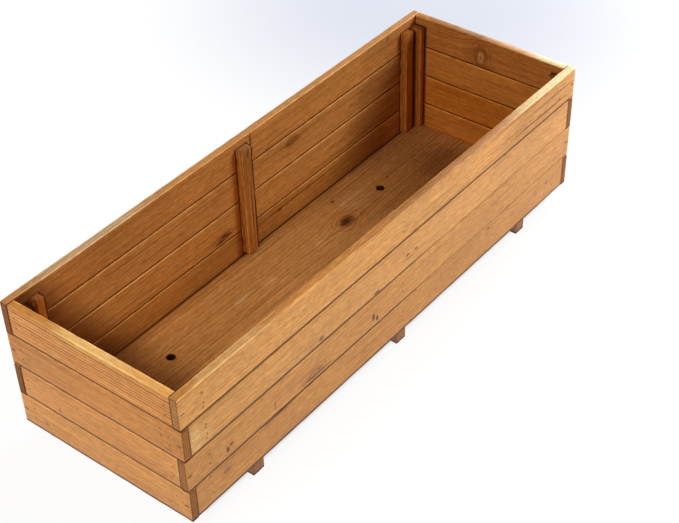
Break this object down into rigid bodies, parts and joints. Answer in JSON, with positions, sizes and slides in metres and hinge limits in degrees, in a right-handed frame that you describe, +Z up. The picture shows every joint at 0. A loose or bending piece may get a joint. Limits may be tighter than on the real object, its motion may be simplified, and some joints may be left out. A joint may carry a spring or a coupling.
{
  "type": "raised garden bed",
  "caption": "Long low timber planting box with lapped horizontal boards, upright battens inside, a drained floor panel and cross feet.",
  "frame": {"origin": "on the ground, under the middle of the bed", "axes": "+X along the length towards the right end wall, +Y from the front wall to the back wall, +Z up"},
  "size_m": [1.0012, 0.3382, 0.26],
  "materials": {
    "wall_wood": "sawn softwood with a honey brown stain, satin",
    "batten_wood": "sawn softwood with a darker brown stain, satin",
    "floor_wood": "knotty softwood panel with a brown stain, matt",
    "foot_wood": "sawn softwood with a brown stain, matt, dark end grain",
    "fastener_steel": "plain wire steel, weathered dark"
  },
  "bodies": {
    "root": {"front_board_1": "wall_wood", "front_board_2": "wall_wood", "front_board_3": "wall_wood", "front_board_4": "wall_wood", "back_board_1": "wall_wood", "back_board_2": "wall_wood", "back_board_3": "wall_wood", "back_board_4": "wall_wood", "left_board_1": "wall_wood", "left_board_2": "wall_wood", "left_board_3": "wall_wood", "left_board_4": "wall_wood", "right_board_1": "wall_wood", "right_board_2": "wall_wood", "right_board_3": "wall_wood", "right_board_4": "wall_wood", "front_left_wall_batten": "batten_wood", "front_right_wall_batten": "batten_wood", "back_left_wall_batten": "batten_wood", "back_right_wall_batten": "batten_wood", "front_middle_batten": "batten_wood", "back_middle_batten": "batten_wood", "front_left_end_batten": "batten_wood", "back_left_end_batten": "batten_wood", "front_right_end_batten": "batten_wood", "back_right_end_batten": "batten_wood", "floor_panel": "floor_wood", "left_foot": "foot_wood", "middle_foot": "foot_wood", "right_foot": "foot_wood", "corner_staples": "fastener_steel", "batten_brads": "fastener_steel", "foot_nails": "fastener_steel"}
  },
  "joints": []
}
